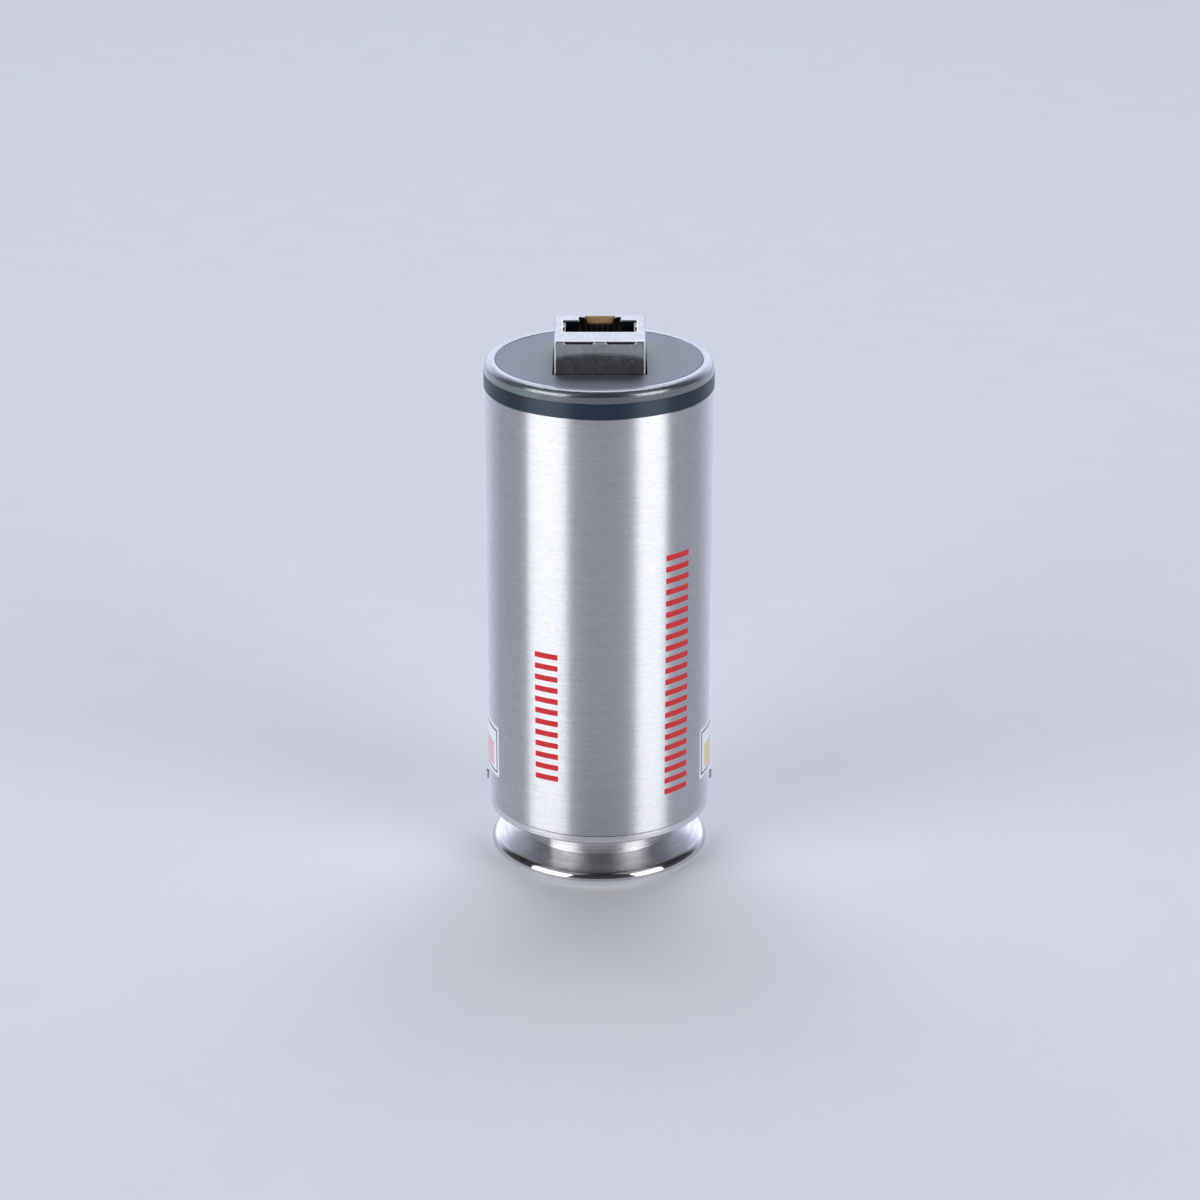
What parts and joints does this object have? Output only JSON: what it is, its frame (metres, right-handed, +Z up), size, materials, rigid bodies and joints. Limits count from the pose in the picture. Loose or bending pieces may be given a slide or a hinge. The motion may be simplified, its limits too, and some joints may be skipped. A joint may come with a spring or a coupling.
{
  "type": "cold cathode vacuum gauge",
  "caption": "Upright vacuum gauge: brushed steel tube on a small clamp flange, dark cap with a pale light ring, shielded modular jack on top.",
  "frame": {"origin": "centre of the flange's sealing face, which is the lowest face", "axes": "+Z up along the gauge's axis towards the jack, -Y to the jack's slotted front wall, +X to the right seen from there"},
  "size_m": [0.042, 0.041, 0.1003],
  "materials": {
    "turned_steel": "turned and polished stainless steel",
    "brushed_tube": "stainless steel brushed round the tube",
    "spring_steel": "plain spring steel",
    "soft_iron": "plated soft iron",
    "magnet": "nickel plated magnet",
    "cap_plastic": "satin blue-grey plastic",
    "disc_plastic": "fine satin slate-grey plastic",
    "light_guide": "pale translucent plastic",
    "lamp": "pale lamp body",
    "shield_sheet": "bright nickel plated sheet",
    "jack_plastic": "black moulded plastic",
    "amber_strip": "amber film",
    "gold_wire": "gold plated wire",
    "rubber": "black rubber",
    "ceramic": "white alumina",
    "white_plastic": "white insulating plastic",
    "board": "green circuit board",
    "chip": "black moulded chip",
    "can": "plain aluminium can",
    "capacitor": "tan ceramic block",
    "ferrite": "dark ferrite",
    "winding": "enamelled wire winding"
  },
  "bodies": {
    "root": {"vacuum_flange": "turned_steel", "baffle_snap_ring": "spring_steel", "inlet_baffle": "turned_steel", "cell_snap_ring": "spring_steel", "lower_pole_plate": "soft_iron", "cathode_cup": "turned_steel", "upper_pole_plate": "soft_iron", "ceramic_washer": "ceramic", "anode_pin": "turned_steel", "starter_disc": "spring_steel", "ceramic_feedthrough": "ceramic", "cell_seal": "rubber", "pressure_plate": "turned_steel", "clamp_screws": "spring_steel", "spring_washers": "spring_steel", "lower_pole_ring": "soft_iron", "ring_magnets": "magnet", "upper_pole_ring": "soft_iron", "magnet_shield": "soft_iron", "magnet_clip": "spring_steel", "housing_tube": "brushed_tube", "locking_screws": "spring_steel", "cap_collar": "cap_plastic", "light_ring": "light_guide", "top_disc": "disc_plastic", "connector_board": "board", "status_lamps": "lamp", "upper_spacers": "spring_steel", "upper_board_plug": "chip", "main_board": "board", "controller_chip": "chip", "electrolytic_capacitors": "can", "lower_spacers": "spring_steel", "lower_board_plug": "chip", "hv_board": "board", "transformer_core": "ferrite", "transformer_winding": "winding", "ceramic_capacitors": "capacitor", "board_screws": "spring_steel", "contact_barrel": "gold_wire", "contact_plunger": "gold_wire", "insulating_sleeve": "white_plastic", "jack_shield": "shield_sheet", "jack_insert": "jack_plastic", "latch_strip": "amber_strip", "jack_contacts": "gold_wire"}
  },
  "joints": []
}
